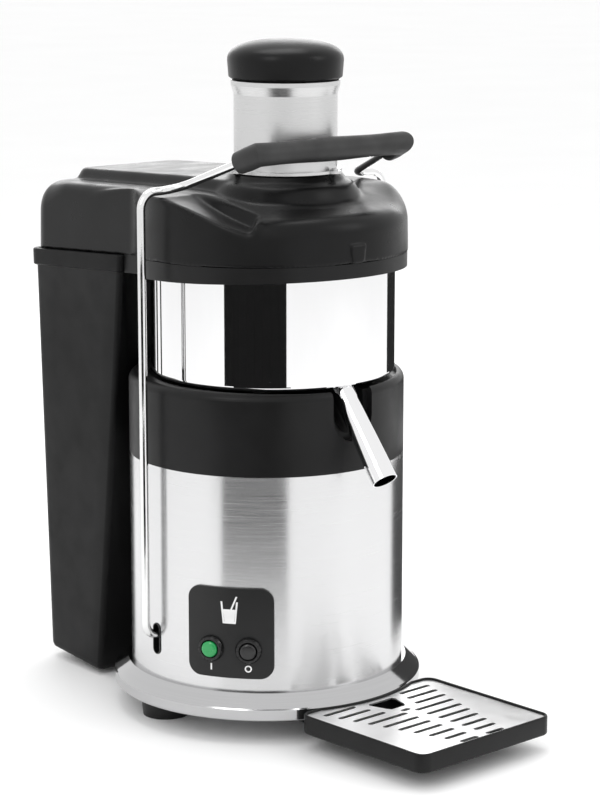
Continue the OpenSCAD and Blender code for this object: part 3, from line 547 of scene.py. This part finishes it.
def lid_top(x, y):
    """Height of the lid's upper surface over each plan point."""
    to_chute = np.hypot(x, y - CHUTE_Y)
    front = np.interp(to_chute, (70, 105), (Z_DECK - 8, Z_DECK - 17))
    deck = Z_DECK - DECK_FALL * np.clip(y - 30, 0, None)
    right = ramp(-60, 60, x)
    forward = ramp(0, 1, (-5 - 25 * right - y) / 75)
    top = deck * (1 - forward) + front * forward
    tier = rounded_box_2d(x, y, *TIER_X, CHUTE_Y, HOOD_BACK - TIER_MARGIN, TIER_CORNER)
    top = top + TIER_RISE * ramp(3.5, -3.5, tier)
    region, inner = scoop_region(x, y)
    run = np.clip((-4 - y) / 86, 0, 1.1)
    floor = Z_DECK - 1 - 25 * run + 0.2 * (inner - 18) * np.sin(np.pi * np.clip(run, 0, 1))
    top = top - np.maximum(top - floor, 0) * ramp(2.2, -2.4, region)
    radii, drops = zip(*PAD_PROFILE)
    pad = np.interp(to_chute, radii, [Z_RING - drop for drop in drops])
    return smoothed(smooth_max(top, pad, 3)), region


def lid_piece():
    xs = np.arange(-LID_R - 4, LID_R + 4.1, LID_CELL)
    ys = np.arange(SPINDLE_Y - LID_R - 4, HOOD_BACK + 4.1, LID_CELL)
    zs = np.arange(seam_z(HOOD_BACK) - 4, Z_RING + 5, LID_CELL)
    x2, y2 = np.meshgrid(xs, ys, indexing="ij")
    top, region = lid_top(x2, y2)
    slope_x, slope_y = np.gradient(top, LID_CELL)
    steep = np.sqrt(1 + slope_x ** 2 + slope_y ** 2)[..., None]
    x, y, z = x2[..., None], y2[..., None], zs[None, None, :]
    up = z - Z_SEAM
    to_spindle = np.hypot(x, y - SPINDLE_Y)
    round_wall = to_spindle - (LID_R - WALL_TAPER * up)
    hood = rounded_box_2d(x2, y2, -HOOD_HALF, HOOD_HALF, 0, HOOD_BACK, HOOD_CORNER)[..., None]
    hood = hood + WALL_TAPER * up
    wall = smooth_min(round_wall, hood, 8)
    edge = (13 - 9.5 * ramp(9, 0, region) + 16 * ramp(185, 232, y2))[..., None]
    outer = smooth_max(wall, (z - top[..., None]) / steep, edge)
    lug = np.maximum(np.abs(x + 1.5) - (5.5 + 0.16 * up), to_spindle - LID_R - 1.6)
    lug = np.maximum(np.maximum(lug, up - LUG_H), y)
    shell = smooth_min(outer, lug, 1.2)
    shell = np.maximum(shell, -(outer + LID_WALL))
    bore = CHUTE_R + 0.2 - np.hypot(x, y - CHUTE_Y)
    seam = np.where(y2 > 0, -y2 * BACK_SLOPE, -y2 * FRONT_SLOPE)[..., None] + Z_SEAM
    shell = np.maximum(np.maximum(shell, bore), seam - z)
    lid = surface_net("lid_shell", shell.astype(np.float32), (xs[0], ys[0], zs[0]), LID_CELL)
    lid.data.set_sharp_from_angle(angle=math.radians(50))
    return place(lid, "base", "black_shell", "lid", material="black_lid")


# ---------------------------------------------------------------- bail
ROD_R = 3.75
GRIP_R = 10.75
GRIP_HALF = 80.0
KINK_X = 100.0
GRIP_RISE = 37
YOKE_GRASP = 15
ROD_BENDS = (12, 15, 26, 14)


def bail_points():
    low, high = box_mm("bail_rod")
    leg = high.x - ROD_R
    foot_z = low.z + ROD_R
    front = low.y + ROD_R
    grip_z = high.z - ROD_R
    top_z = grip_z - GRIP_RISE
    inner = box_mm("bail_yokes")[1].x - YOKE_GRASP
    half = [(inner, 0, foot_z), (leg, 0, foot_z), (leg, 0, top_z), (KINK_X, 0, top_z),
            (GRIP_HALF, front, grip_z)]
    return half


def bail_pieces():
    half = bail_points()
    full = half + [(-x, y, z) for x, y, z in reversed(half)]
    path = rounded_path(full, ROD_BENDS + ROD_BENDS[::-1], 12)
    rod = sweep("bail_rod_bent", path, ROD_R, 32)
    place(rod, "bail", "rod_steel", "bail_rod")
    corner = Vector(half[-1])
    arm = Vector(half[-2]) - corner
    ends = [corner + arm * 0.22, corner]
    line = [ends[0], ends[1], Vector((-corner.x, corner.y, corner.z)),
            Vector((-ends[0].x, ends[0].y, ends[0].z))]
    fine = []
    for a, b in zip(line, line[1:]):
        steps = max(1, int((b - a).length / 5))
        points = [a.lerp(b, k / steps) for k in range(steps)]
        fine += [p for p in points if p == a or min((p - a).length, (p - b).length) > GRIP_R]
    fine.append(line[-1])
    total = sum((b - a).length for a, b in zip(fine, fine[1:]))
    walked, radii = 0.0, []
    for i, p in enumerate(fine):
        walked += (p - fine[i - 1]).length if i else 0
        swell = 0.45 * math.cos(2 * math.pi * (walked / total - 0.5) * 2)
        radii.append(GRIP_R - 0.45 + swell)
    lead, tail = (fine[0] - fine[1]).normalized(), (fine[-1] - fine[-2]).normalized()
    caps = [(0.0, 0.93), (1.2, 0.75), (1.8, 0.5)]
    start = [(fine[0] + lead * d, radii[0] * f) for d, f in reversed(caps[0:])]
    end = [(fine[-1] + tail * d, radii[-1] * f) for d, f in caps]
    line = [p for p, r in start] + fine[1:-1] + [p for p, r in end]
    radii = [r for p, r in start] + radii[1:-1] + [r for p, r in end]
    grip = sweep("bail_grip_sleeve", line, radii, 36)
    place(grip, "bail", "grip_rubber", "bail_grip")


# ---------------------------------------------------------------- pusher cap
CAP_GAP = 0.4
CAP_SIDE = 17
DOME_FULLNESS = 0.8


def cap_piece():
    """A domed cap with nearly upright sides."""
    under = Z_CHUTE_TOP + CAP_GAP
    shoulder = under + CAP_SIDE
    profile = [(0, under, 0), (CAP_R - 4.6, under, 0.5), (CAP_R - 1.1, under + 2.6, 1.2),
               (CAP_R, shoulder, 0)]
    steps = 16
    for k in range(1, steps):
        a = math.pi / 2 * k / steps
        rise = (Z_CAP_TOP - shoulder) * math.sin(a) ** DOME_FULLNESS
        profile.append((CAP_R * math.cos(a) ** DOME_FULLNESS, shoulder + rise, 0))
    profile.append((0, Z_CAP_TOP, 0))
    cap = lathe("pusher_cap_dome", profile, CHUTE_Y, 128, 40)
    place(cap, "pusher", "black_shell", "pusher_cap", material="black_lid")


# ---------------------------------------------------------------- lofted shells
def loft(name, rings, smooth_angle=32):
    """Joins rings with the same number of points, and closes both ends with a face."""
    n = len(rings[0])
    verts = [p for ring in rings for p in ring]
    faces = []
    for i in range(len(rings) - 1):
        for k in range(n):
            m = (k + 1) % n
            faces.append((i * n + k, i * n + m, (i + 1) * n + m, (i + 1) * n + k))
    last = (len(rings) - 1) * n
    faces.append(tuple(range(n - 1, -1, -1)))
    faces.append(tuple(range(last, last + n)))
    return add_object(name, verts, faces, smooth_angle)


BAND_OUT = 3.5
BAND_H = 16.0
BIN_WALL = 2.5
BIN_CLEARANCE = 5.0
BIN_FLOOR_HALF = 90.0
BIN_LOW_FRONT = FLANGE_R + 6.5
BIN_HIGH_FRONT = 86
FLOOR_RISE = 6.5
RAIL_W = 5.5
NOTCH_GAP = 0.8


def bin_outline(z, inset):
    """Plan of the bin at a height: straight sides, round back corners, hollow front round the body."""
    high = box_mm("pulp_bin")[1]
    rise = z / (Z_SEAM + 10)
    half = BIN_FLOOR_HALF + (high.x - BAND_OUT - BIN_FLOOR_HALF) * rise - inset
    back = high.y - BAND_OUT - 1 + rise - inset
    flat_front = BIN_LOW_FRONT + (BIN_HIGH_FRONT - BIN_LOW_FRONT) * rise + inset
    curve_r = BODY_R + BIN_CLEARANCE + inset
    corner = 14 - inset
    plan = [(half - corner + corner * math.sin(a), back - corner + corner * math.cos(a))
            for a in (math.pi / 2 * k / 10 for k in range(11))]

    def front_y(x):
        curved = math.sqrt(max(curve_r ** 2 - x * x, 0))
        gap = curved - flat_front
        return flat_front + (gap + math.sqrt(gap * gap + 9)) / 2

    nose = 5
    side_end = front_y(half - nose) + nose * 0.9
    side_start = back - corner
    plan += [(half, side_start + (side_end - side_start) * k / 6) for k in range(1, 7)]
    for k in range(1, 6):
        a = math.pi / 2 * k / 6
        x = half - nose + nose * math.cos(a)
        plan.append((x, front_y(half - nose) + nose * 0.9 * (1 - math.sin(a))))
    x_end = half - nose
    plan += [(x_end * math.cos(math.pi * k / 60), front_y(x_end * math.cos(math.pi * k / 60)))
             for k in range(31)]
    mirrored = [(-x, y) for x, y in reversed(plan[:-1])]
    return plan + mirrored


def bin_piece():
    low, high = box_mm("pulp_bin")
    back = high.y - BAND_OUT
    floor_back = low.z + FLOOR_RISE
    rim_back = Z_SEAM - 0.5 - back * BACK_SLOPE
    height = rim_back - floor_back
    band = height - BAND_H

    def ring(h, inset):
        floor_slope = -FLOOR_RISE / (back - BIN_LOW_FRONT)
        part = min(1, max(0, h / (band - 2)))
        slope = floor_slope + (BACK_SLOPE - floor_slope) * part
        middle_z = floor_back + h + (back - 170) * slope
        return [(x, y, floor_back + (back - y) * slope + h) for x, y in bin_outline(middle_z, inset)]

    levels = [(0, 5), (0.5, 3), (1.7, 1.2), (4, 0.2), (6, 0), (80, 0), (160, 0), (240, 0), (320, 0),
              (band - 1.2, 0), (band - 0.3, -0.4), (band + 0.2, -BAND_OUT + 1.2), (band + 1.2, -BAND_OUT),
              (height - 1.5, -BAND_OUT), (height - 0.3, -BAND_OUT + 0.6), (height, -BAND_OUT + 1.4),
              (height, BIN_WALL - 1), (height - 0.4, BIN_WALL - 0.2), (height - 1.4, BIN_WALL),
              (200, BIN_WALL), (8, BIN_WALL), (4, BIN_WALL + 1), (BIN_WALL, BIN_WALL + 4)]
    bin_shell = loft("pulp_bin_shell", [ring(h, inset) for h, inset in levels], 40)
    rail_edge = box_mm("bin_rails")[1].x
    for side, label in ((-1, "left"), (1, "right")):
        inner, outer = side * (rail_edge - RAIL_W - NOTCH_GAP), side * (rail_edge + NOTCH_GAP)
        notch = strip("notch_" + label, inner, outer, 60, BODY_R + 9, -4, 12)
        cut(bin_shell, [notch])
        lip = strip("bin_lip_" + label, side * 88, side * 96.5, 120, back - 12, 0.6, 3.1)
        place(lip, "bin", "black_bin")
    bin_shell.data.shade_smooth()
    bin_shell.data.set_sharp_from_angle(angle=math.radians(40))
    place(bin_shell, "bin", "black_bin", "pulp_bin")


def strip(name, x0, x1, y0, y1, d0, d1):
    """A square bar along the seam's slope, from d0 to d1 below the seam."""
    rings = [[(x0, y, seam_z(y) - d0), (x1, y, seam_z(y) - d0), (x1, y, seam_z(y) - d1),
              (x0, y, seam_z(y) - d1)] for y in (y0, y1)]
    return loft(name, rings, 30)


TRAY_CORNER = 11.0
TRAY_BACK = 133.0
TRAY_HALF = 81.5
TRAY_FRONT = 287.0
TRAY_GAP = 1.5
TONGUE_X = 42
TONGUE_HALF = 10
TONGUE_REACH = 34


def tray_turn():
    axis = [j["axis"] for j in frame["joints"] if j["name"] == "tray_slide"][0]
    return math.atan2(axis[0], -axis[1])


def tray_outline(half, front, back_r, inset):
    half, front, back_r = half - inset, front - inset, back_r + inset
    corner = TRAY_CORNER - min(inset, TRAY_CORNER - 1)
    flat_y = TRAY_BACK + inset
    a_end = math.acos(flat_y / back_r)
    plan = [(back_r * math.sin(a), -back_r * math.cos(a))
            for a in (-a_end + 2 * a_end * k / 40 for k in range(41))]
    plan += [(half - corner + corner * math.sin(a), -flat_y - corner + corner * math.cos(a))
             for a in (math.pi / 2 * k / 8 for k in range(9))]
    for sign in (1, -1):
        angles = [math.pi / 2 * k / 8 for k in range(9)]
        arc = [(sign * (half - corner + corner * math.cos(a)), -front + corner - corner * math.sin(a))
               for a in angles]
        plan += arc if sign > 0 else arc[::-1]
    plan += [(-half + corner - corner * math.cos(a), -flat_y - corner + corner * math.sin(a))
             for a in (math.pi / 2 * k / 8 for k in range(9))]
    return plan


def tray_piece():
    turn = tray_turn()
    low, high = box_mm("drip_tray")
    back_r = FLANGE_R + TRAY_GAP
    z0, z1 = low.z, high.z

    def ring(z, inset):
        return [(x * math.cos(turn) - y * math.sin(turn), x * math.sin(turn) + y * math.cos(turn), z)
                for x, y in tray_outline(TRAY_HALF, TRAY_FRONT, back_r, inset)]

    levels = [(z0, 2.2), (z0 + 0.3, 1), (z0 + 1.2, 0.2), (z0 + 2, 0), (z1 - 1.8, 0), (z1 - 0.7, 0.25),
              (z1 - 0.1, 0.9), (z1, 1.5), (z1 - 0.2, 2.1), (z1 - 1, 2.5), (z1 - 3.5, 2.5), (z1 - 3.5, 5.5),
              (z0 + 3, 5.5), (z0 + 2, 6.5)]
    tray = loft("drip_tray_shell", [ring(z, inset) for z, inset in levels], 40)
    place(tray, "tray", "black_shell", "drip_tray")
    for side in (-1, 1):
        tongue(side, turn, z0, back_r)


def tongue(side, turn, z0, back_r):
    """A flat hook that slides under the base flange."""
    near, far = -back_r - 1, -back_r + TONGUE_REACH
    left, right = TONGUE_X - TONGUE_HALF, TONGUE_X + TONGUE_HALF
    outline = rounded_2d([(left, near, 0), (right, near, 0), (right, far, 4), (left, far, 4)])
    rings = []
    for z, inset in ((z0, 0.5), (z0 + 0.5, 0), (z0 + 4.5, 0), (z0 + 5, 0.5)):
        ring = []
        for x, y in outline:
            x = side * (TONGUE_X + (x - TONGUE_X) * (1 - inset / TONGUE_HALF))
            ring.append((x * math.cos(turn) - y * math.sin(turn),
                         x * math.sin(turn) + y * math.cos(turn), z))
        rings.append(ring)
    place(loft("tray_tongue_%s" % ("right" if side > 0 else "left"), rings), "tray", "black_shell")


# ---------------------------------------------------------------- buttons
def button_frame(node):
    """The matrix that puts a piece turned about Z on the sleeve's surface, pointing outwards."""
    low, high = box_mm(node)
    middle = (low + high) / 2
    angle = math.atan2(middle.x, -middle.y)
    seat = Vector((BODY_R * math.sin(angle), -BODY_R * math.cos(angle), middle.z)) * MM
    return Matrix.Translation(seat) @ Matrix.Rotation(angle, 4, "Z") @ Matrix.Rotation(math.pi / 2, 4, "X")


def turned(name, profile, matrix):
    made = lathe(name, profile, 0, 72, 30)
    made.data.transform(matrix)
    return made


def button_pieces(kind, body, slot):
    matrix = button_frame(kind + "_bezel")
    cap_r = 7.2
    bezel = [(7.7, -9, 0), (9.8, -9, 0), (9.8, 2.1, 0), (12, 2.1, 0.3), (12, 3.6, 0.8), (10.6, 6.1, 0.8),
             (8.6, 6.1, 0.6), (7.7, 5.2, 0.3)]
    place(turned(kind + "_boot", bezel, matrix), "base", "black_gloss", kind + "_bezel")
    cap = [(0, -16, 0), (4, -16, 0.3), (4, -4, 0), (cap_r, -4, 0.3), (cap_r, 7, 1.0), (5.6, 8.0, 1.5),
           (0, 8.2, 0)]
    place(turned(kind + "_cap", cap, matrix), body, slot, kind + "_button")
    for k in range(12):
        rib_on_boot(kind, k, matrix)


def rib_on_boot(kind, k, matrix):
    angle = math.pi / 6 * k
    turn = Matrix.Rotation(angle, 4, "Z")
    path = [turn @ Vector((r, 0, z)) for r, z in ((11.4, 3.4), (11.2, 4.6), (10.4, 5.8), (9.2, 6.2))]
    rib = sweep("%s_boot_rib_%d" % (kind, k), path, [0.3, 0.7, 0.7, 0.3], 10)
    rib.data.transform(matrix)
    place(rib, "base", "black_gloss")


# ---------------------------------------------------------------- stage
CAMERA_TURN = math.radians(38.6)
CAMERA_DIP = math.radians(11.65)


def camera():
    data = bpy.data.cameras.new("camera")
    data.lens = 115.7
    data.sensor_width = 36
    data.clip_end = 60
    made = bpy.data.objects.new("camera", data)
    made.location = (-1.4419, -1.8559, 0.765)
    made.rotation_euler = (math.pi / 2 - CAMERA_DIP, 0, -CAMERA_TURN)
    bpy.context.collection.objects.link(made)
    bpy.context.scene.camera = made


def stage_material(name, color, rough=0.6, specular=0.2):
    made = Finish(name, color, rough, Specular_IOR_Level=specular)
    made.color(made.noise(3, 2), tuple(c * 0.985 for c in color), color)
    return made.material


def floor():
    size = 24.0
    mesh = bpy.data.meshes.new("floor")
    mesh.from_pydata([(-size, -size, 0), (size, -size, 0), (size, size, 0), (-size, size, 0)], [],
                     [(0, 1, 2, 3)])
    made = bpy.data.objects.new("floor", mesh)
    bpy.context.collection.objects.link(made)
    mesh.materials.append(stage_material("floor_paper", (0.95, 0.95, 0.95)))


def card(name, azimuth0, azimuth1, distance, z0, z1, shade):
    """An upright screen that only shows in reflections, given by its angles from the camera's side."""
    steps = 8
    toward = math.atan2(-math.cos(CAMERA_TURN), -math.sin(CAMERA_TURN))
    verts, faces = [], []
    for k in range(steps + 1):
        a = toward + math.radians(azimuth0 + (azimuth1 - azimuth0) * k / steps)
        for z in (z0, z1):
            verts.append((distance * math.cos(a), distance * math.sin(a), z))
    for k in range(steps):
        faces.append((2 * k, 2 * k + 2, 2 * k + 3, 2 * k + 1))
    mesh = bpy.data.meshes.new(name)
    mesh.from_pydata(verts, [], faces)
    made = bpy.data.objects.new(name, mesh)
    bpy.context.collection.objects.link(made)
    mesh.materials.append(stage_material(name, (shade,) * 3, 1.0, 0.0))
    made.visible_camera = False
    made.visible_diffuse = False
    made.visible_shadow = False


def area_light(name, location, target, width, height, power):
    data = bpy.data.lights.new(name, "AREA")
    data.shape = "RECTANGLE"
    data.size = width
    data.size_y = height
    data.energy = power
    made = bpy.data.objects.new(name, data)
    made.location = location
    aim = Vector(target) - Vector(location)
    made.rotation_euler = aim.to_track_quat("-Z", "Y").to_euler()
    made.visible_camera = False
    bpy.context.collection.objects.link(made)
    return made


def light_the_stage():
    scene = bpy.context.scene
    scene.world = bpy.data.worlds.new("studio")
    scene.world.use_nodes = True
    background = scene.world.node_tree.nodes["Background"]
    background.inputs["Color"].default_value = (1, 1, 1, 1)
    background.inputs["Strength"].default_value = 1.04
    scene.view_settings.view_transform = "Standard"
    area_light("key", (-1.9, -0.7, 1.9), (0, 0, 0.3), 0.9, 1.3, 10)
    area_light("fill", (1.2, -1.8, 1.6), (0, 0, 0.3), 0.8, 1.2, 7)
    area_light("top", (0.1, 0.3, 2.2), (0, 0, 0.4), 1.2, 1.0, 14)
    area_light("glow", (1.62, 2.03, 1.1), (0, 0, 0.45), 2.2, 0.9, 12)
    card("bowl_screen", -40.2, 12.6, 0.62, 0.19, 0.37, 0.01)
    card("sleeve_screen", -33, 16.5, 0.62, 0.004, 0.17, 0.01)
    card("line_one", -136, -132, 1.3, 0.004, 0.22, 0.02)
    card("line_two", -126, -123, 1.3, 0.004, 0.22, 0.02)
    card("right_edge", 132, 172, 1.3, 0.004, 0.22, 0.02)
    card("left_edge", -180, -158, 1.3, 0.004, 0.22, 0.02)
    card("sleeve_edge", 109, 147, 0.3, 0.002, 0.19, 0.10)


# ---------------------------------------------------------------- make it all
camera()
floor()
light_the_stage()
dress_cad_nodes()
lid_piece()
bail_pieces()
cap_piece()
bin_piece()
tray_piece()
button_pieces("start", "start_push", "start_green")
button_pieces("stop", "stop_push", "stop_black")
